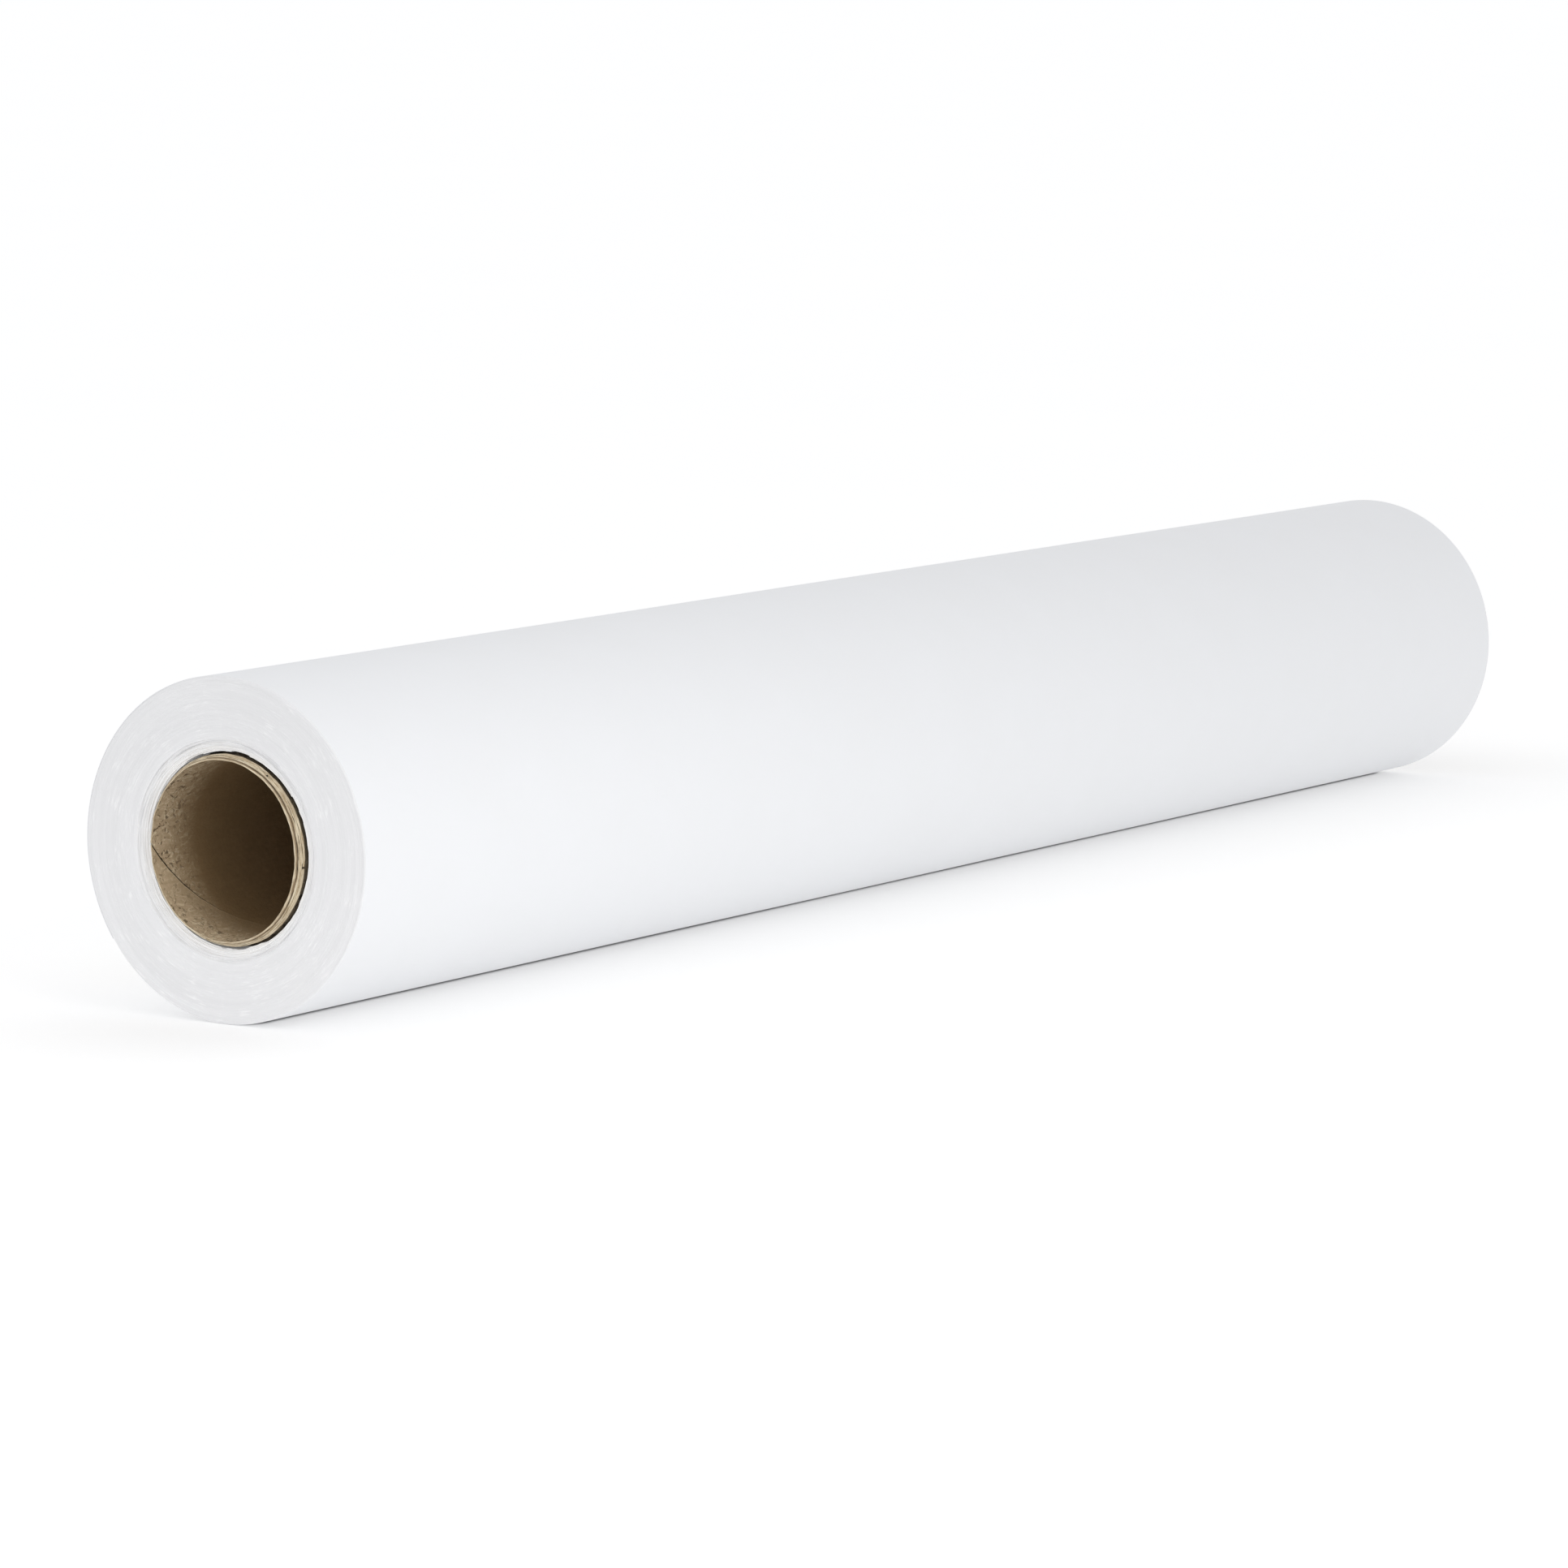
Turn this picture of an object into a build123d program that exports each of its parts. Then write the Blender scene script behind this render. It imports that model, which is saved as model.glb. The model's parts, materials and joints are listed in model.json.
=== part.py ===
from build123d import *
import math
import os

# Backdrop paper roll: one long web of seamless background paper, wound on a spiral-wound
# kraft tube. Millimetres. The origin is on the roll's axis, halfway along it; +X runs along
# the axis and +Z is up. Angles around the roll are measured from +Y towards +Z.

# Driving dimensions
ROLL_LENGTH = 660.0          # width of the paper web, cut flush with the core
ROLL_RADIUS = 48.3           # outside of the last turn
CORE_BORE_RADIUS = 25.4      # a 2 inch bore
PLY_COUNT = 5
PLY_THICKNESS = 0.32
PLY_PITCH = 126.0            # axial advance of a ply in one turn
PLY_SEAM = 0.55              # open joint between two turns of a ply, measured around the tube
PLY_STAGGER = 62.0           # degrees between the seams of neighbouring plies
LINER_SEAM_ANGLE = 0.0       # where the innermost seam meets the -X end
CORE_BEVEL_DEPTH = 1.95      # the burnished cone on each end of the tube

PAPER_CHAMFER_DEPTH = 3.2    # the first turns sit back from the end faces
PAPER_CHAMFER_RADIUS = 29.2  # and reach the end face at this radius
TAPE_WIDTH = 24.0            # one roll of paper masking tape serves for every tab
TAPE_THICKNESS = 0.15
TAPE_X = {"near": -250.0, "centre": 0.0, "far": 250.0}
START_TAPE_LENGTH = 50.0     # around the tube, over the inner end of the web
START_TAPE_ANGLE = 120.0

PAPER_THICKNESS = 0.2
SPIRAL_STEP = 0.7            # how far the last turn steps in over a full circle
SKIN_INNER_RADIUS = 47.3     # below this the turns are one packed mass
HINGE_ANGLE = 55.0           # where the free end starts to lift
LEADER_ARC = 90.0            # the part of the last turn that lifts
LEADER_GAP = 0.3             # between the leader and the turn that it continues

CLOSING_TAPE_LENGTH = 60.0   # half of it on the leader, half past the free edge
CLOSING_TAPE_LIFT = 0.3      # clearance above the leader

CORE_RADIUS = CORE_BORE_RADIUS + PLY_COUNT * PLY_THICKNESS
FREE_EDGE_ANGLE = HINGE_ANGLE - LEADER_ARC


def revolved(points):
    """A ring about the X axis from its (x, radius) outline."""
    return revolve(make_face(Polyline(*points, close=True)), Axis.X)


def extruded(face, length, x=0.0):
    """A YZ face extruded evenly to both sides of x."""
    return Pos(x, 0, 0) * extrude(Plane.YZ * face, length / 2, both=True)


def shell_sector(r_in, r_out, start, sweep_angle):
    """The YZ face between two radii over an arc."""
    outer = CenterArc((0, 0), r_out, start, sweep_angle)
    inner = CenterArc((0, 0), r_in, start, sweep_angle)
    return make_face([outer, Line(outer @ 1, inner @ 1), inner, Line(inner @ 0, outer @ 0)])


def core_end_setback(radius):
    """How far the bevelled end of the tube sits back at a radius."""
    return CORE_BEVEL_DEPTH * (radius - CORE_BORE_RADIUS) / (CORE_RADIUS - CORE_BORE_RADIUS)


def core_ply(index):
    """One ply: a strip wound in a left-hand helix whose turns meet in an open seam."""
    r_in = CORE_BORE_RADIUS + index * PLY_THICKNESS
    r_out = r_in + PLY_THICKNESS
    x_in = ROLL_LENGTH / 2 - core_end_setback(r_in)
    x_out = ROLL_LENGTH / 2 - core_end_setback(r_out)
    tube = revolved([(-x_in, r_in), (x_in, r_in), (x_out, r_out), (-x_out, r_out)])

    overrun = 5.0
    cut_length = ROLL_LENGTH + 2 * overrun
    turn = -360.0 * cut_length / PLY_PITCH
    slot = Pos((r_in + r_out) / 2, 0, 0) * Rectangle(3 * PLY_THICKNESS, PLY_SEAM)
    cutter = Solid.extrude_linear_with_rotation(slot.face(), (0, 0, 0), (0, 0, cut_length), turn)
    # Stand the cutter along +X with its section starting at +Y, then turn it to its seam.
    cutter = Pos(-cut_length / 2, 0, 0) * Rot(0, 90, 0) * Rot(0, 0, 90) * cutter
    lead = 360.0 * overrun / PLY_PITCH
    return tube - Rot(LINER_SEAM_ANGLE + lead + index * PLY_STAGGER, 0, 0) * cutter


def tape_tab(radius, middle_angle, length, x):
    """A tab of tape lying round a cylinder."""
    arc = math.degrees(length / radius)
    face = shell_sector(radius, radius + TAPE_THICKNESS, middle_angle - arc / 2, arc)
    return extruded(face, TAPE_WIDTH, x)


def wound_paper(start_tapes):
    """The packed turns, with the first ones set back at both ends."""
    half = ROLL_LENGTH / 2
    inset = half - PAPER_CHAMFER_DEPTH
    packed = revolved([
        (-inset, CORE_RADIUS), (inset, CORE_RADIUS),
        (half, PAPER_CHAMFER_RADIUS), (half, SKIN_INNER_RADIUS),
        (-half, SKIN_INNER_RADIUS), (-half, PAPER_CHAMFER_RADIUS),
    ])
    return packed - start_tapes


def outer_turns():
    """The last turns: a spiral that steps in under the leader and ends at its hinge."""
    quarter = 90.0
    step = SPIRAL_STEP / 4
    centre = Vector(0, 0)
    arcs = []
    for turn in range(4):
        start = HINGE_ANGLE + turn * quarter
        arcs.append(CenterArc(centre, ROLL_RADIUS - turn * step, start, quarter))
        end = math.radians(start + quarter)
        centre = centre + Vector(math.cos(end), math.sin(end)) * step
    outline = make_face(arcs + [Line(arcs[-1] @ 1, arcs[0] @ 0)])
    return extruded(outline - Circle(SKIN_INNER_RADIUS), ROLL_LENGTH)


def leader_flap():
    """The free end of the web, curled round the back of the roll."""
    gap = math.degrees(LEADER_GAP / ROLL_RADIUS)
    face = shell_sector(ROLL_RADIUS - PAPER_THICKNESS, ROLL_RADIUS, FREE_EDGE_ANGLE, LEADER_ARC - gap)
    return extruded(face, ROLL_LENGTH)


ply_names = ["core_inner_liner"]
ply_names += [f"core_ply_{number}" for number in range(2, PLY_COUNT)]
ply_names += ["core_outer_ply"]

nodes = {name: core_ply(index) for index, name in enumerate(ply_names)}
for place, x in TAPE_X.items():
    nodes[f"core_start_tape_{place}"] = tape_tab(CORE_RADIUS, START_TAPE_ANGLE, START_TAPE_LENGTH, x)
nodes["wound_paper"] = wound_paper([nodes[f"core_start_tape_{place}"] for place in TAPE_X])
nodes["outer_turns"] = outer_turns()
nodes["leader_flap"] = leader_flap()
for place, x in TAPE_X.items():
    radius = ROLL_RADIUS + CLOSING_TAPE_LIFT
    nodes[f"closing_tape_{place}"] = tape_tab(radius, FREE_EDGE_ANGLE, CLOSING_TAPE_LENGTH, x)

os.makedirs("parts", exist_ok=True)
for name, shape in nodes.items():
    export_step(shape, f"parts/{name}.step")
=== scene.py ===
import json
import math

import bpy
import numpy as np
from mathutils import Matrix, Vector


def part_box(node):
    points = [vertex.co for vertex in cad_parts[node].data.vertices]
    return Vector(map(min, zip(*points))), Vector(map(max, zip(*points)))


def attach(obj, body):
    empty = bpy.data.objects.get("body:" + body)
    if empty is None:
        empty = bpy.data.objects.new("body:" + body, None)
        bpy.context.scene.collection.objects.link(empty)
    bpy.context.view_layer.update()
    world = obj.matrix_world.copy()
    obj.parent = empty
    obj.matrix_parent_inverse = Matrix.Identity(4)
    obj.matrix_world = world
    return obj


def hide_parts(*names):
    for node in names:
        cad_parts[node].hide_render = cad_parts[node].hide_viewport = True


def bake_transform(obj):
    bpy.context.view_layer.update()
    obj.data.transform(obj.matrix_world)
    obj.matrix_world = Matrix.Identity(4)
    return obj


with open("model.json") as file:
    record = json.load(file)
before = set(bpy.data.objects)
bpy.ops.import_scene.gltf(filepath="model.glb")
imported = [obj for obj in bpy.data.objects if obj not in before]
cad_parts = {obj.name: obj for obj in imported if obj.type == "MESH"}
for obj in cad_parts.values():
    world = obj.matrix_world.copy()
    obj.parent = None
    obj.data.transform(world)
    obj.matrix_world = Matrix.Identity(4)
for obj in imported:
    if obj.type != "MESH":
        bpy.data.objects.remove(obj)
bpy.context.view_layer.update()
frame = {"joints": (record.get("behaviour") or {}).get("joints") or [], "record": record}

# ---------------------------------------------------------------------------
# Sizes in metres, with the bore, the length and the hinges from the frame. The roll lies along X, its
# near end at -X. Angles are about its axis, from +Y towards +Z.
# ---------------------------------------------------------------------------
MM = 0.001
bore_mount = next(m for m in frame["record"]["mounts"] if m["name"] == "core_bore")
joints = {j["name"]: j for j in frame["joints"]}

BORE = bore_mount["dims"]["r_mm"] * MM
HALF = bore_mount["dims"]["length_mm"] * MM / 2      # half the roll's length

# The web, and the leader: its free end, which bends up about a line along the roll
PAPER = 0.2 * MM
HINGE = Vector(joints["leader_lift"]["pos_m"])
HINGE_ANGLE = math.atan2(HINGE.z, HINGE.y)
RADIUS = math.hypot(HINGE.y, HINGE.z) + PAPER / 2
FREE_EDGE = HINGE_ANGLE - math.radians(90)
LEADER_START = HINGE_ANGLE + math.radians(15)
LEADER_BEND_END = HINGE_ANGLE - math.radians(22)

# The tube's plies, from the bore outwards, and their helix
PLIES = ["core_inner_liner", "core_ply_2", "core_ply_3", "core_ply_4", "core_outer_ply"]
PLY = 0.32 * MM
CORE = BORE + len(PLIES) * PLY
PITCH = 126 * MM
PLY_STAGGER = math.radians(62)
SEAM = 0.62 * MM

# Masking tape
TAPE = 0.09 * MM
TAPE_WIDTH = 24 * MM
CLOSING_LENGTH = 60 * MM
CLOSING_BEND_END = FREE_EDGE + math.radians(27)
START_LENGTH = 50 * MM
START_ANGLE = math.radians(120)


# ---------------------------------------------------------------------------
# Helpers
# ---------------------------------------------------------------------------
def noise_1d(position, seed, size=4096):
    """Smooth random values from -1 to 1, a new one at each whole position."""
    values = np.random.default_rng(seed).uniform(-1, 1, size)
    cell = np.floor(position).astype(int)
    part = position - cell
    part = part * part * (3 - 2 * part)
    return values[cell % size] * (1 - part) + values[(cell + 1) % size] * part


def noise_round(angle, count, seed):
    """Smooth random values round a circle, count of them in a turn."""
    return noise_1d(np.mod(angle / (2 * math.pi), 1) * count, seed, count)


def torn_steps(angle, count, seed):
    """Random values round a circle, each held until a sudden step to the next."""
    values = np.random.default_rng(seed).uniform(-1, 1, count)
    position = np.mod(angle / (2 * math.pi), 1) * count
    cell = np.floor(position).astype(int) % count
    part = np.clip((position - np.floor(position)) * 5, 0, 1)
    return values[cell - 1] * (1 - part) + values[cell] * part


def ragged(angle, seed, coarse, fine):
    """An irregular edge round a circle: long waves and short nicks of the given heights."""
    return coarse * noise_round(angle, 60, seed) + fine * noise_round(angle, 190, seed + 20)


def around(x, radius, angle):
    """Points at a radius and angle about the roll's axis."""
    x, radius, angle = np.broadcast_arrays(x, radius, angle)
    return np.stack([x, radius * np.cos(angle), radius * np.sin(angle)], -1)


def make_object(name, points, faces, materials, kinds=None, sharp=50):
    """A mesh object; kinds gives each face's material, and edges over sharp degrees stay hard."""
    mesh = bpy.data.meshes.new(name)
    mesh.from_pydata(points.reshape(-1, 3).tolist(), [], faces)
    for material in materials:
        mesh.materials.append(material)
    if kinds is not None:
        mesh.polygons.foreach_set("material_index", kinds)
    mesh.shade_smooth()
    mesh.set_sharp_from_angle(angle=math.radians(sharp))
    obj = bpy.data.objects.new(name, mesh)
    bpy.context.scene.collection.objects.link(obj)
    return obj


def grid_faces(index, flip=False):
    """Quads between neighbouring entries of a 2-D array of vertex numbers."""
    corners = [index[:-1, :-1], index[:-1, 1:], index[1:, 1:], index[1:, :-1]]
    quads = np.stack(corners, -1).reshape(-1, 4)
    return (quads[:, ::-1] if flip else quads).tolist()


def slab(name, outer, inner, materials):
    """A closed thin sheet between two grids of points."""
    points = np.stack([outer, inner])
    index = np.arange(outer[..., 0].size * 2).reshape(points.shape[:3])
    faces = grid_faces(index[0], True) + grid_faces(index[1])
    rim = [index[:, 0, :-1], index[:, :-1, -1], index[:, -1, :0:-1], index[:, :0:-1, 0],
           index[:, 0, :1]]
    faces += grid_faces(np.concatenate(rim, axis=1))
    return make_object(name, points, faces, materials)


# ---------------------------------------------------------------------------
# Materials
# ---------------------------------------------------------------------------
class Shader:
    """A material's node tree, built up one node at a time."""

    def __init__(self, name):
        self.material = bpy.data.materials.new(name)
        self.material.use_nodes = True
        self.tree = self.material.node_tree
        self.surface = self.tree.nodes["Principled BSDF"]

    def put(self, socket, value):
        """Links another node's output to a socket, or sets its value."""
        if isinstance(value, bpy.types.NodeSocket):
            self.tree.links.new(value, socket)
        else:
            socket.default_value = value

    def add(self, kind, inputs, output=0, **settings):
        """A new node's output."""
        node = self.tree.nodes.new("ShaderNode" + kind)
        for key, value in settings.items():
            setattr(node, key, value)
        for key, value in inputs.items():
            self.put(node.inputs[key], value)
        return node.outputs[output]

    def math(self, operation, a, b=0.0):
        return self.add("Math", {0: a, 1: b}, operation=operation)

    def vector(self, operation, a, b=(0, 0, 0), output=0):
        second = "Scale" if operation == "SCALE" else 1
        return self.add("VectorMath", {0: a, second: b}, output, operation=operation)

    def place(self):
        return self.add("TexCoord", {}, "Object")

    def split(self, place, axis):
        return self.add("SeparateXYZ", {"Vector": place}, axis)

    def noise(self, place, scale, detail=3.0, rough=0.5, distortion=0.0):
        inputs = {"Vector": place, "Scale": scale, "Detail": detail, "Roughness": rough,
                  "Distortion": distortion}
        return self.add("TexNoise", inputs, "Fac")

    def range(self, value, low, high, out_low, out_high, curve="LINEAR"):
        """The value mapped from low..high to out_low..out_high, and held past both."""
        inputs = {"Value": value, "From Min": low, "From Max": high, "To Min": out_low,
                  "To Max": out_high}
        return self.add("MapRange", inputs, interpolation_type=curve)

    def mix(self, amount, a, b, blend="MIX"):
        node = self.tree.nodes.new("ShaderNodeMix")
        node.data_type, node.blend_type = "RGBA", blend
        for key, value in ((0, amount), (6, a), (7, b)):
            if isinstance(value, tuple):
                value = (*value, 1)
            self.put(node.inputs[key], value)
        return node.outputs[2]

    def bump(self, heights):
        """Bumps laid over one another: (height, distance in metres, strength)."""
        normal = None
        for height, distance, strength in heights:
            inputs = {"Height": height, "Distance": distance, "Strength": strength}
            if normal is not None:
                inputs["Normal"] = normal
            normal = self.add("Bump", inputs)
        self.put(self.surface.inputs["Normal"], normal)

    def finish(self, colour, roughness, specular=0.3, sheen=0.0):
        for key, value in (("Base Color", colour), ("Roughness", roughness),
                           ("Specular IOR Level", specular), ("Sheen Weight", sheen)):
            if isinstance(value, tuple):
                value = (*value, 1)
            self.put(self.surface.inputs[key], value)
        return self.material


def polar(shader):
    """The direction from the roll's axis to a point, and its distance from the axis."""
    flat = shader.vector("MULTIPLY", shader.place(), (0, 1, 1))
    return shader.vector("NORMALIZE", flat), shader.vector("LENGTH", flat, output="Value")


def paper_side():
    """The web's face: smooth white paper with a faint cloudiness, tooth and fibres along the roll."""
    s = Shader("paper_side")
    place = s.place()
    cloud = s.noise(place, 40, 5, 0.55)
    tooth = s.noise(place, 1500, 5, 0.65)
    fibre = s.noise(s.vector("MULTIPLY", place, (0.35, 1, 1)), 700, 4, 0.6, 0.6)
    colour = s.mix(s.range(cloud, 0.3, 0.7, 0, 1), (0.84, 0.847, 0.862), (0.848, 0.856, 0.874))
    colour = s.mix(s.range(tooth, 0.35, 0.75, 0, 0.05), colour, (0.76, 0.765, 0.775))
    s.bump([(cloud, 0.00015, 0.2), (fibre, 0.00008, 0.35), (tooth, 0.00005, 0.5)])
    return s.finish(colour, s.range(fibre, 0.3, 0.7, 0.72, 0.86), 0.25, 0.05)


def paper_edge():
    """The web's cut edges: rings of turns, brushed in places into pale dashes, and painted paler and
    glowing at the hole.
    """
    s = Shader("paper_edge")
    direction, distance = polar(s)

    def rings(turning, spacing, seed):
        """Noise drawn out round the axis: turning values to a radian, and one to a spacing outwards."""
        across = s.add("CombineXYZ", {"X": s.math("DIVIDE", distance, spacing), "Y": seed})
        return s.noise(s.vector("ADD", across, s.vector("SCALE", direction, turning)), 1, 2)

    place = s.place()
    broad = rings(1.0, 2.2 * MM, 3.0)
    dashes = rings(11.0, 0.4 * MM, 17.0)
    turns = rings(3.0, PAPER, 31.0)
    grain = s.noise(place, 2200, 4, 0.7)
    scuff = s.noise(place, 130, 4, 0.6)
    colour = s.mix(s.range(broad, 0.35, 0.65, 0, 1), (0.825, 0.825, 0.835), (0.855, 0.855, 0.865))
    brushed = s.math("MULTIPLY", s.range(dashes, 0.52, 0.7, 0, 1), s.range(scuff, 0.45, 0.62, 0, 1))
    colour = s.mix(brushed, colour, (0.94, 0.94, 0.945))
    colour = s.mix(s.range(turns, 0.3, 0.7, 0, 0.06), colour, (0.62, 0.62, 0.63))
    # Painted light: paler near the hole, lifting the shade of the recess
    colour = s.mix(s.range(distance, 27.5 * MM, 31.5 * MM, 0.9, 0), colour, (0.96, 0.96, 0.96))
    # Painted light and shade: lighter towards the bottom, darker towards the top
    height = s.split(place, "Z")
    colour = s.mix(1.0, colour, s.range(height, -45 * MM, 45 * MM, 1.055, 0.965), "MULTIPLY")

    # Painted light: a glow on the turns at the hole, where the recess is in shade
    painted_glow = s.range(distance, 27.6 * MM, 30.0 * MM, 0.085, 0, "SMOOTHSTEP")
    s.put(s.surface.inputs["Emission Color"], (1, 1, 1, 1))
    s.put(s.surface.inputs["Emission Strength"], painted_glow)
    s.bump([(dashes, 0.00012, 0.3), (turns, 0.00008, 0.4), (grain, 0.00006, 0.6)])
    return s.finish(colour, s.range(grain, 0.3, 0.7, 0.82, 0.96), 0.15)


def kraft(name, painted_shade):
    """Brown board with fibres and flecks, scuffed at the mouth and paler along one edge of the strip.
    Painted light makes it pale at the mouth and lighter deep inside, and painted shade darker at the
    top.
    Its last argument darkens all of it with painted shade."""
    s = Shader(name)
    place = s.place()
    across = s.add("Attribute", {}, "Fac", attribute_name="across")
    along = s.math("ABSOLUTE", s.split(place, "X"))
    mouth = s.range(along, HALF - 20 * MM, HALF - 4 * MM, 0, 1)
    height = s.split(place, "Z")
    cloud = s.noise(place, 120, 4, 0.6)
    mottle = s.noise(place, 750, 5, 0.7)
    streak = s.noise(s.vector("MULTIPLY", place, (0.06, 1, 1)), 900, 4, 0.7, 0.5)
    specks = s.noise(place, 620, 2, 0.5, 1.0)
    fuzz = s.noise(s.vector("MULTIPLY", place, (0.6, 1, 1)), 640, 3, 0.6, 1.5)
    colour = s.mix(s.range(cloud, 0.3, 0.7, 0, 1), (0.31, 0.21, 0.104), (0.37, 0.256, 0.134))
    # Painted light: lighter deep inside the bore
    inland = s.range(along, HALF - 75 * MM, HALF - 30 * MM, 0.5, 0)
    colour = s.mix(inland, colour, (0.56, 0.41, 0.25))
    # Painted light: pale at the mouth, where the light falls in
    colour = s.mix(s.math("MULTIPLY", mouth, 0.92), colour, (0.79, 0.63, 0.43))
    colour = s.mix(s.range(streak, 0.35, 0.7, 0, 0.35), colour, (0.29, 0.185, 0.095))
    colour = s.mix(s.range(mottle, 0.35, 0.7, 0, 0.45), colour, (0.25, 0.17, 0.09))
    lit = s.range(along, HALF - 34 * MM, HALF - 10 * MM, 0.1, 1)
    pale_edge = s.math("MULTIPLY", lit, s.range(across, 0.72, 1.0, 0, 0.5))
    colour = s.mix(pale_edge, colour, (0.50, 0.38, 0.235))
    scuffed = s.math("MULTIPLY", mouth, s.range(across, 0.8, 1.0, 1, 0.35))
    fibres = s.math("MULTIPLY", scuffed, s.range(fuzz, 0.53, 0.62, 0, 0.85))
    colour = s.mix(fibres, colour, (0.86, 0.74, 0.52))
    flecks = s.math("MULTIPLY", scuffed, s.range(specks, 0.58, 0.64, 0, 0.9))
    colour = s.mix(flecks, colour, (0.09, 0.06, 0.035))
    # Painted shade: darker towards the top of the bore
    colour = s.mix(s.range(height, -8 * MM, 22 * MM, 0, 0.4), colour, (0.10, 0.055, 0.02))
    # Painted shade over the whole board, for a shaded copy
    colour = s.mix(1.0, colour, (painted_shade, painted_shade, painted_shade), "MULTIPLY")
    s.bump([(cloud, 0.0003, 0.3), (mottle, 0.0003, 0.5), (fuzz, 0.0003, 0.5), (streak, 0.00015, 0.4)])
    return s.finish(colour, s.range(mottle, 0.3, 0.7, 0.7, 0.9), 0.2)


def board_cut():
    """The cut ends of the plies: paler, fibrous and layered, with a dark joint behind the liner."""
    s = Shader("board_cut")
    place = s.place()
    direction, distance = polar(s)
    layers = s.add("CombineXYZ", {"X": s.math("DIVIDE", distance, 0.14 * MM)})
    layer = s.noise(s.vector("ADD", layers, s.vector("SCALE", direction, 6.0)), 1, 3)
    fuzz = s.noise(place, 1900, 5, 0.7)
    cloud = s.noise(place, 110, 3, 0.6)
    colour = s.mix(s.range(layer, 0.35, 0.6, 0, 1), (0.44, 0.33, 0.20), (0.80, 0.70, 0.52))
    colour = s.mix(s.range(cloud, 0.42, 0.65, 0, 0.5), colour, (0.38, 0.28, 0.17))
    colour = s.mix(s.range(fuzz, 0.52, 0.75, 0, 0.6), colour, (0.88, 0.80, 0.62))
    joint = s.math("ADD", distance, s.math("MULTIPLY", s.noise(place, 260, 3), 0.35 * MM))
    joint = s.math("ABSOLUTE", s.math("SUBTRACT", joint, BORE + PLY + 0.17 * MM))
    colour = s.mix(s.range(joint, 0.04 * MM, 0.2 * MM, 0.85, 0), colour, (0.20, 0.13, 0.07))
    s.bump([(layer, 0.0003, 0.6), (fuzz, 0.0003, 0.6)])
    return s.finish(colour, s.range(fuzz, 0.3, 0.7, 0.8, 0.95), 0.15)


def masking_tape():
    """Tan crepe paper, its creases across the tape."""
    s = Shader("masking_tape")
    place = s.place()
    crepe = s.noise(s.vector("MULTIPLY", place, (0.12, 1, 1)), 1600, 3, 0.6, 0.4)
    cloud = s.noise(place, 300, 3, 0.5)
    colour = s.mix(s.range(crepe, 0.3, 0.7, 0, 1), (0.60, 0.50, 0.31), (0.74, 0.65, 0.45))
    colour = s.mix(s.range(cloud, 0.4, 0.7, 0, 0.3), colour, (0.68, 0.60, 0.44))
    s.bump([(crepe, 0.00025, 0.6), (cloud, 0.0002, 0.2)])
    return s.finish(colour, s.range(crepe, 0.3, 0.7, 0.45, 0.65), 0.4)


PAPER_SIDE = paper_side()
PAPER_EDGE = paper_edge()
LINING = kraft("kraft_lining", 1.0)
# The same board darkened with painted shade, for walls seen only in crevices and seams
SHADED_BOARD = kraft("kraft_shaded", 0.19)
CUT = board_cut()
TAPE_PAPER = masking_tape()


# ---------------------------------------------------------------------------
# The web: one true spiral, with every turn's edge modelled on both end faces
# ---------------------------------------------------------------------------
STEPS = 192                    # points in a turn
WEB_START = CORE + 0.1 * MM
TURNS = round((RADIUS - WEB_START) / PAPER)

# At both ends the first turns have slipped back round the tube, from the shoulder in to the hole
SHOULDER = 31.8 * MM
HOLE = 27.3 * MM
CREVICE_DEPTH = 6.0 * MM

EDGE_SETBACK = 0.12 * MM       # of a turn's edge from the end plane
GROOVE = 0.04 * MM             # between the edges of two turns
ROUNDING = 0.35 * MM           # of the outermost turns, over the width below
ROUNDED = 0.5 * MM


def edge_setback(turn, angle, ridge, seed):
    """How far the web sits back from the end plane; ridge is 1 on a turn's edge, 0 between two turns."""
    radius = WEB_START + PAPER * turn
    hole = HOLE + 0.18 * MM * noise_round(angle, 9, seed) + 0.24 * MM * torn_steps(angle, 31, seed + 1)
    hole = hole + 0.10 * MM * noise_round(angle, 96, seed + 5)
    slope = np.clip((SHOULDER - radius) / (SHOULDER - hole), 0, 1)
    uneven = (0.18 * noise_1d(turn * 13, seed + 2) + 0.10 * noise_1d(turn * 37, seed + 3)) * MM
    depth = (2.2 + 0.1 * np.cos(angle) + 0.25 * noise_round(angle, 7, seed + 4)) * MM
    shoulder = depth * slope ** 1.25 + uneven * np.clip(slope * 4, 0, 1)
    setback = np.where(radius < hole, CREVICE_DEPTH, shoulder)
    rounding = ROUNDING * np.clip((radius - RADIUS + ROUNDED) / ROUNDED, 0, 1) ** 2
    return EDGE_SETBACK + setback + rounding + (1 - ridge) * GROOVE


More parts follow.
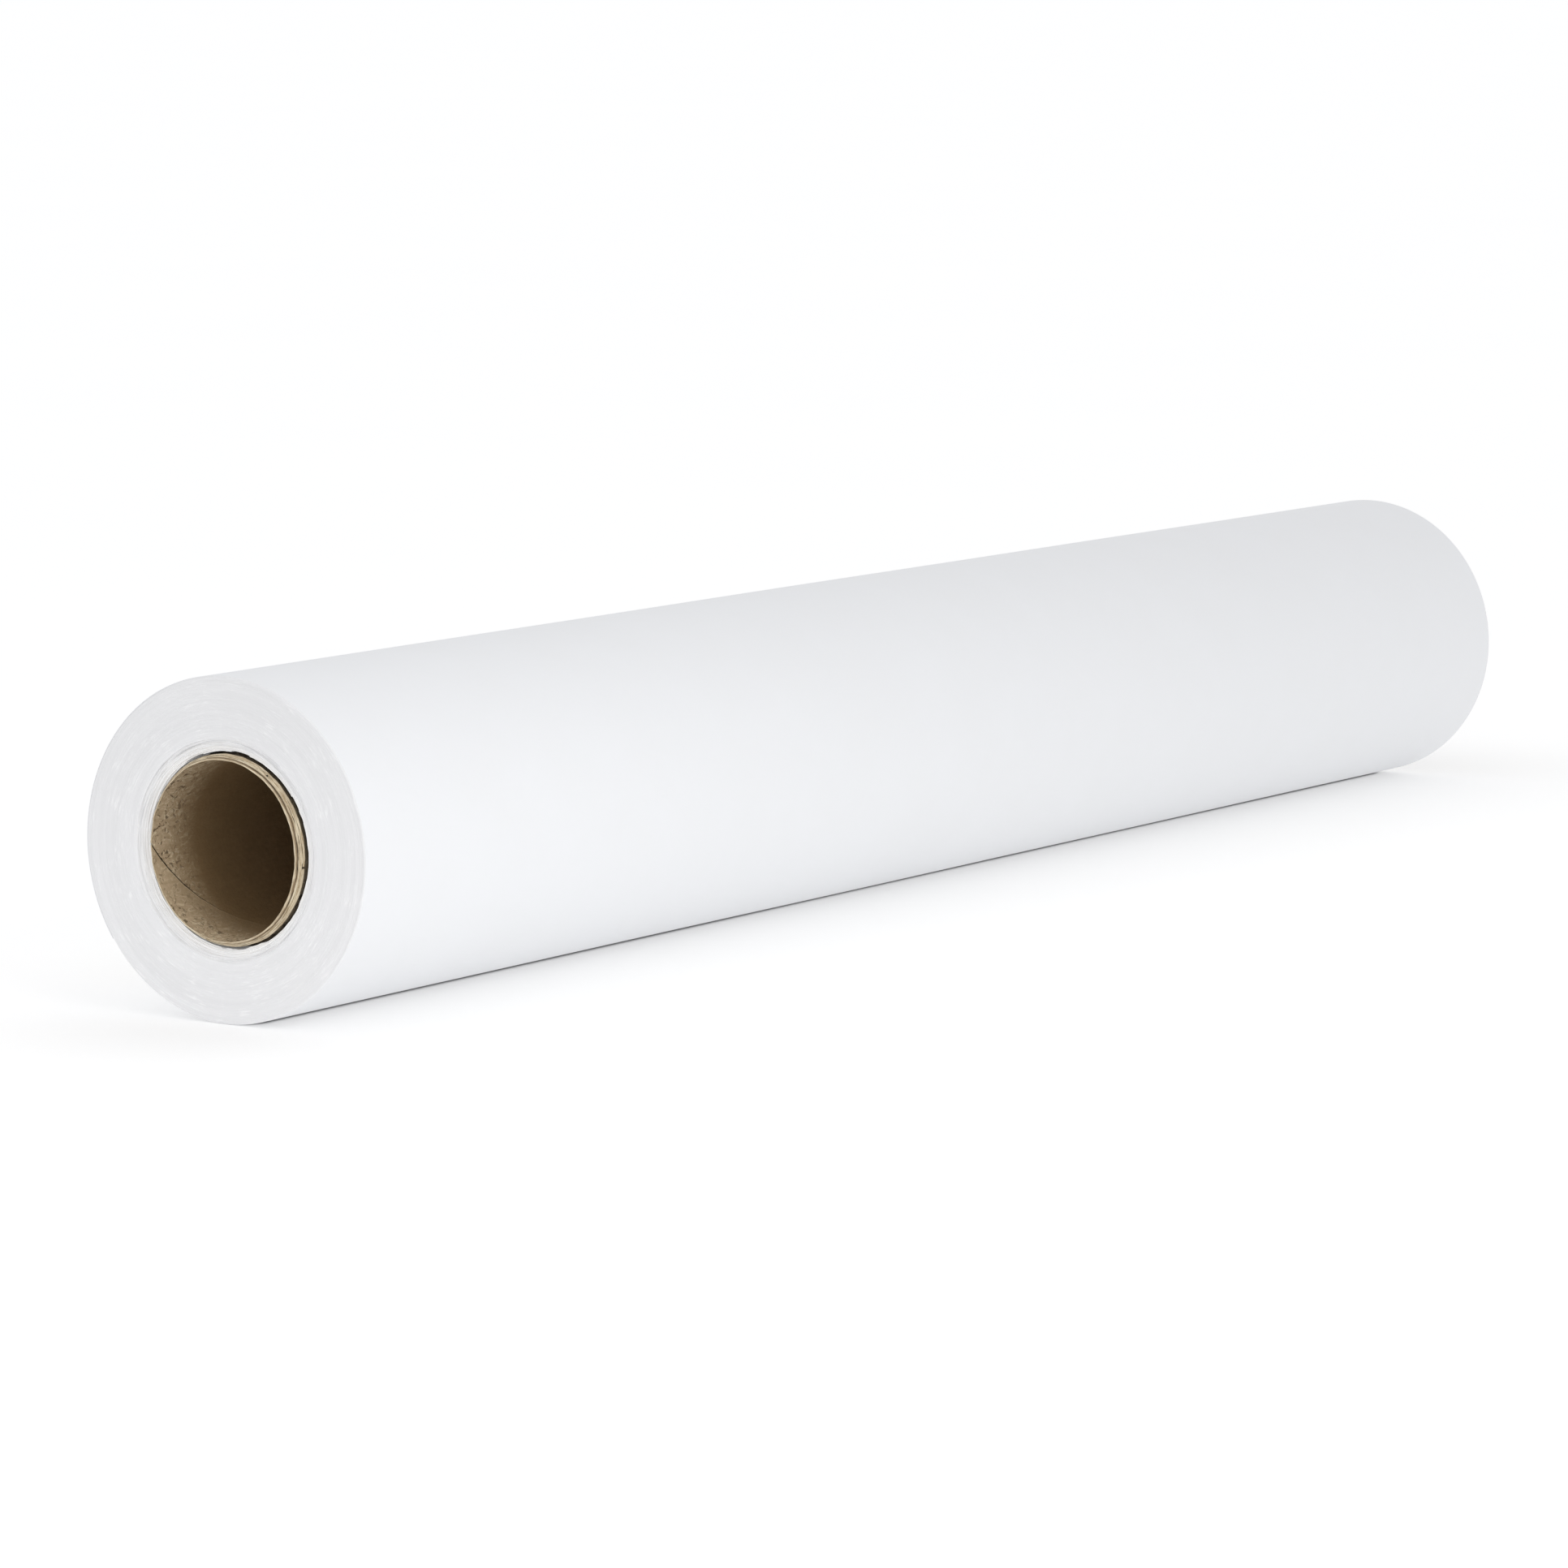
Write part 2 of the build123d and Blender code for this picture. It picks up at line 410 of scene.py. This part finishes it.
def web():
    """Both spiral end faces, the outside over the last turn, and the inside over the first."""
    columns = (TURNS - 1) * STEPS + 1
    turn = 1 + np.arange(columns) / STEPS
    angle = LEADER_START + 2 * math.pi * (TURNS - turn)
    last_turn, last_angle = turn[-STEPS - 1:], angle[-STEPS - 1:]

    # Each turn has a groove and a ridge on an end face, and the last turn has an outer boundary too
    strip_turn = np.concatenate([turn - 1, turn - 0.5, last_turn[1:]])
    strip_angle = np.concatenate([angle, angle, last_angle[1:]])
    ridge = np.concatenate([np.zeros(columns), np.ones(columns), np.full(STEPS, 0.5)])
    radius = WEB_START + PAPER * strip_turn
    drift = (0.05 * noise_1d(strip_turn / 7.0 + 11, 1) + 0.03 * noise_1d(strip_turn / 2.1 + 5, 2)
             + 0.02 * noise_1d(strip_turn / 0.6, 3)) * MM       # of the web sideways as it was wound
    near_x = -HALF + edge_setback(strip_turn, strip_angle, ridge, 10) + drift
    far_x = HALF - edge_setback(strip_turn, strip_angle, ridge, 20) + drift
    points = [around(near_x, radius, strip_angle), around(far_x, radius, strip_angle)]
    count = len(radius)

    def strip_rows(base):
        """Vertex numbers of one end face: its grooves, its ridges and the outer boundary."""
        groove = base + np.arange(columns)
        outer = np.concatenate([[groove[-1]], base + 2 * columns + np.arange(STEPS)])
        return groove, groove + columns, outer

    faces = []
    for base, flip in ((0, False), (count, True)):
        groove, crest, outer = strip_rows(base)
        following = np.concatenate([groove[STEPS:-1], outer])
        faces += grid_faces(np.stack([groove, crest, following]), flip)
    edge_faces = len(faces)

    def wall(x, turn, angle, near_row, far_row, flip):
        """The web's face over one turn, from the near end to the far one, with slight waves."""
        start = sum(len(p.reshape(-1, 3)) for p in points)
        along = x[:, None]
        wave = (0.05 * np.sin(along * 9 + 1) + 0.03 * np.sin(along * 31 + angle[None] * 2)) * MM
        wave = wave * np.sin((along / HALF + 1) * math.pi / 2)
        points.append(around(along, WEB_START + PAPER * turn[None] + wave, angle[None]))
        middle = start + np.arange(x.size * angle.size).reshape(x.size, angle.size)
        surface = np.concatenate([near_row[None], middle, far_row[None]])
        faces.extend(grid_faces(surface, flip))
        return surface

    near, far = strip_rows(0), strip_rows(count)
    ends = np.array([0.9, 2.5, 6.0, 12.0]) * MM
    x = np.concatenate([-HALF + ends, np.linspace(-HALF, HALF, 66)[2:-2], HALF - ends[::-1]])
    outside = wall(x, last_turn, last_angle, near[2], far[2], True)
    x = np.linspace(-HALF, HALF, 9)[1:-1]
    first = slice(0, STEPS + 1)
    inside = wall(x, turn[first] - 1, angle[first], near[0][first], far[0][first], False)

    # The web's two cut ends, one thickness high
    for surface, column, flip in ((outside, -1, True), (inside, 0, False)):
        low, high = surface[:, 0], surface[:, -1]
        loops = [[near[0][column], near[1][column], high[0], high[1], low[1]]]
        loops += [[low[i], high[i], high[i + 1], low[i + 1]] for i in range(1, len(low) - 2)]
        loops += [[low[-2], high[-2], high[-1], far[1][column], far[0][column]]]
        faces.extend([int(v) for v in (loop[::-1] if flip else loop)] for loop in loops)

    kinds = np.zeros(len(faces), int)
    kinds[:edge_faces] = 1
    flat_points = np.concatenate([p.reshape(-1, 3) for p in points])
    obj = make_object("paper_web", flat_points, faces, [PAPER_SIDE, PAPER_EDGE], kinds, 60)
    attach(obj, "roll")
    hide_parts("wound_paper", "outer_turns")


def last_turn_radius(angle):
    """The web's outside under the leader, one turn further in."""
    return RADIUS - PAPER + PAPER * (LEADER_START - angle) / (2 * math.pi)


def leader_radius(angle):
    """The leader's outside."""
    lift = 0.02 * MM * np.clip((LEADER_START - angle) / 0.1, 0, 1)
    return last_turn_radius(angle) + PAPER + lift


def leader():
    angle = np.linspace(LEADER_START, FREE_EDGE, 72)
    x = np.linspace(-HALF + 0.3 * MM, HALF - 0.3 * MM, 67)[:, None]
    outer = leader_radius(angle)
    inner = outer - PAPER + 0.01 * MM
    obj = slab("paper_leader", around(x, outer, angle), around(x, inner, angle), [PAPER_SIDE])
    Vector(around(0, RADIUS, LEADER_BEND_END))
    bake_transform(obj)
    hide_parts("leader_flap")


web()
leader()


# ---------------------------------------------------------------------------
# The tube: five plies, each a left-hand helical strip with an open seam. Its cut ends stand a little
# proud of the web at the bore and slope back outwards, with the outer ply sunk between tube and web.
# ---------------------------------------------------------------------------
BEVEL_OUTER = CORE - PLY
SUNK = 3.6 * MM
END_ZONE = 6 * MM              # the length over which a ply takes up the shape of its cut end
BURR = 0.2 * MM                # of the liner into the bore
LIP = 0.07 * MM                # of the liner's edges into the bore, along its seam
SEAM_OPEN = 10 * MM            # the liner's seam is open to here, and nearly closed from
SEAM_CLOSED = 20 * MM          # here inwards


def cut_setback(index, radius, angle):
    """How far a ply's cut end sits back from the end plane at a radius and angle."""
    if index == len(PLIES) - 1:
        return SUNK
    proud = (0.8 - 0.55 * np.cos(angle + math.radians(15))) * MM
    outer = (1.2 + 0.15 * np.cos(angle)) * MM
    step = 0.3 * MM * (index > 0)
    return (outer + proud) * (radius - BORE) / (BEVEL_OUTER - BORE) - proud + step


def ply(name, index):
    """One ply: a wall of vertices inside and one outside, from the near end to the far one, with a
    crest between them round each cut end."""
    lining, sunk = index == 0, index == len(PLIES) - 1
    inner, outer = BORE + index * PLY, BORE + (index + 1) * PLY

    # Distances from an end for the rows of vertices, as far as the middle
    inland = np.linspace(1, 0, 82 if lining else 60, endpoint=False)[1:] * (HALF - END_ZONE)
    inland = HALF - np.concatenate([inland, [0]])
    inland = np.concatenate([[0, 0.4 * MM, 1.2 * MM, 3 * MM, END_ZONE], inland])

    # Angles round the strip from one edge of its seam to the other
    gap = SEAM / (inner + outer)
    edge = np.array([0, 0.003, 0.009, 0.02, 0.035])
    arc = np.concatenate([edge, np.linspace(0.05, 2 * math.pi - 2 * gap - 0.05, 270),
                          2 * math.pi - 2 * gap - edge[::-1]]) + gap
    to_seam = np.minimum(arc, 2 * math.pi - arc) - gap
    lip = LIP * np.exp(-(to_seam / 0.012) ** 2) if lining else 0 * arc

    def end_rows(radius, seed, side):
        """The rows at one radius, from an end to the middle; side is -1 near and 1 far."""
        x = side * (HALF - inland)
        start = -2 * math.pi * (x + HALF) / PITCH + index * PLY_STAGGER
        open_share = np.ones_like(inland)
        if lining:
            open_share = np.clip((SEAM_CLOSED - inland) / (SEAM_CLOSED - SEAM_OPEN), 0.05, 1)
        spread = (math.pi - gap * open_share[:, None]) / (math.pi - gap)
        angle = start[:, None] + math.pi + (arc - math.pi) * spread
        fade = np.clip(1 - inland / END_ZONE, 0, 1)[:, None]
        bead = 0.14 * MM * (2 * (radius - inner) / PLY - 1) ** 2 * (inland[:, None] == 0)
        back = cut_setback(index, radius, angle) + bead + ragged(angle, seed, 0.10 * MM, 0.07 * MM)
        wander = 0.05 * MM * noise_1d(x * 900 + 50, 60 + index)[:, None] * (to_seam < 0.02)
        size = radius - (BURR * fade ** 4 + lip) * (radius < BORE + PLY / 4)
        size = size + ragged(angle, seed + 3, 0.06 * MM, 0.03 * MM) * fade ** 2
        return around(x[:, None] - side * back * fade, size, angle + wander / radius)

    def wall(radius, seed):
        near, far = end_rows(radius, seed, -1), end_rows(radius, seed + 7, 1)
        return np.concatenate([near, far[-2::-1]])

    seed = 40 + 2 * index
    walls = np.stack([wall(inner, seed), wall(outer, seed + 1)])
    middle = (inner + outer) / 2
    crests = end_rows(middle, seed, -1)[0], end_rows(middle, seed + 7, 1)[0]
    points = np.concatenate([walls.reshape(-1, 3), *crests])

    numbers = np.arange(walls[..., 0].size).reshape(walls.shape[:3])
    inside, outside = numbers
    near_crest = numbers.size + np.arange(len(arc))
    far_crest = near_crest + len(arc)
    faces = grid_faces(inside)
    lined_faces = len(faces)
    faces += grid_faces(np.concatenate([inside[:, -1:], outside[:, ::-1], inside[:, :1]], axis=1))
    wall_faces = len(faces)
    faces += grid_faces(np.stack([inside[0], near_crest, outside[0]]))
    faces += grid_faces(np.stack([inside[-1], far_crest, outside[-1]]), True)
    for row, crest, flip in ((0, near_crest, False), (-1, far_crest, True)):
        for column, turned in ((0, flip), (-1, not flip)):
            corner = [int(inside[row, column]), int(outside[row, column]), int(crest[column])]
            faces.append(corner[::-1] if turned else corner)

    kinds = np.ones(len(faces), int)
    kinds[:lined_faces] = 0
    kinds[wall_faces:] = 1 if sunk else 2
    # All walls but the bore's, and the sunk ply's cut end, take the board darkened with painted shade
    materials = [LINING if lining else SHADED_BOARD, SHADED_BOARD, CUT]
    obj = make_object(name.replace("core_", "kraft_"), points, faces, materials, kinds, 40)
    across = obj.data.attributes.new("across", "FLOAT", "POINT")
    share = np.tile(arc / (2 * math.pi), len(points) // len(arc))
    across.data.foreach_set("value", share.astype(np.float32))
    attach(obj, "roll")
    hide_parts(name)


for index, name in enumerate(PLIES):
    ply(name, index)


# ---------------------------------------------------------------------------
# Tape: the tabs that start the web on the tube, and those across its free edge
# ---------------------------------------------------------------------------
def tab(name, x, radius_at, middle, length, rows=61, columns=13):
    """A tab of tape round the roll, centred on an angle, with torn ends."""
    half = length / radius_at(np.array([middle]))[0] / 2
    angle = np.linspace(middle + half, middle - half, rows)
    along = x + np.linspace(-TAPE_WIDTH / 2, TAPE_WIDTH / 2, columns)[:, None]
    torn = 0.25 * MM * noise_1d(np.arange(columns) * 1.7, 7)[:, None]
    end = np.zeros(rows)
    end[0], end[-1] = 1, -1
    radius = radius_at(angle)
    angle = angle + torn * end / radius
    return slab(name, around(along, radius + TAPE, angle), around(along, radius, angle), [TAPE_PAPER])


def tube_radius(angle):
    return np.full_like(angle, CORE)


def over_free_edge(angle):
    """The leader's outside, then down to the turn below it past the free edge."""
    down = np.clip((FREE_EDGE - angle) * RADIUS / (1.2 * MM) + 0.3, 0, 1)
    down = down * down * (3 - 2 * down)
    return leader_radius(angle) * (1 - down) + last_turn_radius(angle) * down + 0.015 * MM


for place in ("near", "centre", "far"):
    low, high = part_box(f"closing_tape_{place}")
    x = (low.x + high.x) / 2
    closing = tab(f"tape_closing_{place}", x, over_free_edge, FREE_EDGE, CLOSING_LENGTH)
    hinge = Vector(joints[f"tape_{place}_peel"]["pos_m"])
    bend_end = Vector(around(x, hinge.yz.length, CLOSING_BEND_END))
    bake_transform(closing)
    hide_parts(f"closing_tape_{place}")

    starting = tab(f"tape_start_{place}", x, tube_radius, START_ANGLE, START_LENGTH)
    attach(starting, "roll")
    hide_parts(f"core_start_tape_{place}")


# ---------------------------------------------------------------------------
# Stage, light and camera
# ---------------------------------------------------------------------------
FLOOR_REACH = 40.0             # each way from the roll
CONTACT_SHADOW_LENGTH = HALF - 9 * MM     # each way from the middle of the line where the roll touches the floor, along the painted contact line
CONTACT_SHADOW_EDGE = 9.3 * MM            # from that line to where the floor glows; inside it the glow is cut, painting the contact line
KEY_PLACE, KEY_TARGET = (-0.50, -0.62, 0.27), (-0.24, 0, 0)
KEY_SIZE, KEY_POWER = (0.4, 0.35), 0.92
CAMERA_PLACE = (-1.7715, -1.1282, 0.2562)
CAMERA_DIRECTION = (0.829445, 0.543438, -0.129210)
CAMERA_LENS = 154.08


def floor():
    """A white table that glows a little, less near the roll, and not in the narrow gap under it: a
    painted shadow.
    """
    s = Shader("floor")
    place = s.place()
    past = s.vector("SUBTRACT", s.vector("ABSOLUTE", place), (CONTACT_SHADOW_LENGTH, 0, 0))
    past = s.vector("LENGTH", s.vector("MAXIMUM", past, (0, 0, 0)), output="Value")
    # The glow is cut in the gap under the roll and dimmed near it: a painted contact line and soft
    # shadow
    outside = s.range(past, 6.5 * MM, CONTACT_SHADOW_EDGE, 0, 1, "SMOOTHSTEP")
    painted_glow = s.range(past, CONTACT_SHADOW_EDGE, 130 * MM, 0.315, 0.372, "SMOOTHSTEP")
    s.put(s.surface.inputs["Emission Color"], (1, 1, 1, 1))
    s.put(s.surface.inputs["Emission Strength"], s.math("MULTIPLY", outside, painted_glow))
    colour = s.mix(s.noise(place, 3, 3), (0.73, 0.73, 0.73), (0.74, 0.74, 0.74))
    s.finish(colour, 0.9, 0.0)
    corners = np.array([[-1, -1, 0], [1, -1, 0], [1, 1, 0], [-1, 1, 0]]) * FLOOR_REACH
    obj = make_object("floor", corners, [[0, 1, 2, 3]], [s.material])
    obj.location.z = -RADIUS


def area(name, place, target, size, power):
    """A rectangular lamp, out of the camera's sight."""
    data = bpy.data.lights.new(name, "AREA")
    data.shape = "RECTANGLE"
    data.size, data.size_y = size
    data.energy = power
    obj = bpy.data.objects.new(name, data)
    obj.location = place
    obj.rotation_euler = (Vector(target) - Vector(place)).to_track_quat("-Z", "Y").to_euler()
    obj.visible_camera = False
    bpy.context.scene.collection.objects.link(obj)


def surroundings():
    """Soft light from all round, a little weaker from the camera's side."""
    world = bpy.data.worlds.new("studio")
    world.use_nodes = True
    nodes, links = world.node_tree.nodes, world.node_tree.links
    direction = nodes.new("ShaderNodeTexCoord").outputs["Generated"]
    split, strength = nodes.new("ShaderNodeSeparateXYZ"), nodes.new("ShaderNodeMapRange")
    for key, value in (("From Min", -1), ("From Max", 0), ("To Min", 0.76), ("To Max", 0.885)):
        strength.inputs[key].default_value = value
    links.new(direction, split.inputs[0])
    links.new(split.outputs["Y"], strength.inputs["Value"])
    background = nodes["Background"]
    background.inputs["Color"].default_value = (0.99, 0.993, 1, 1)
    links.new(strength.outputs[0], background.inputs["Strength"])
    return world


scene = bpy.context.scene
scene.view_settings.view_transform = "Standard"
floor()
area("key", KEY_PLACE, KEY_TARGET, KEY_SIZE, KEY_POWER)
scene.world = surroundings()

camera_data = bpy.data.cameras.new("camera")
camera_data.lens = CAMERA_LENS
camera_data.sensor_width = 36
camera_data.clip_end = 200
camera = bpy.data.objects.new("camera", camera_data)
camera.location = CAMERA_PLACE
camera.rotation_euler = Vector(CAMERA_DIRECTION).to_track_quat("-Z", "Y").to_euler()
scene.collection.objects.link(camera)
scene.camera = camera
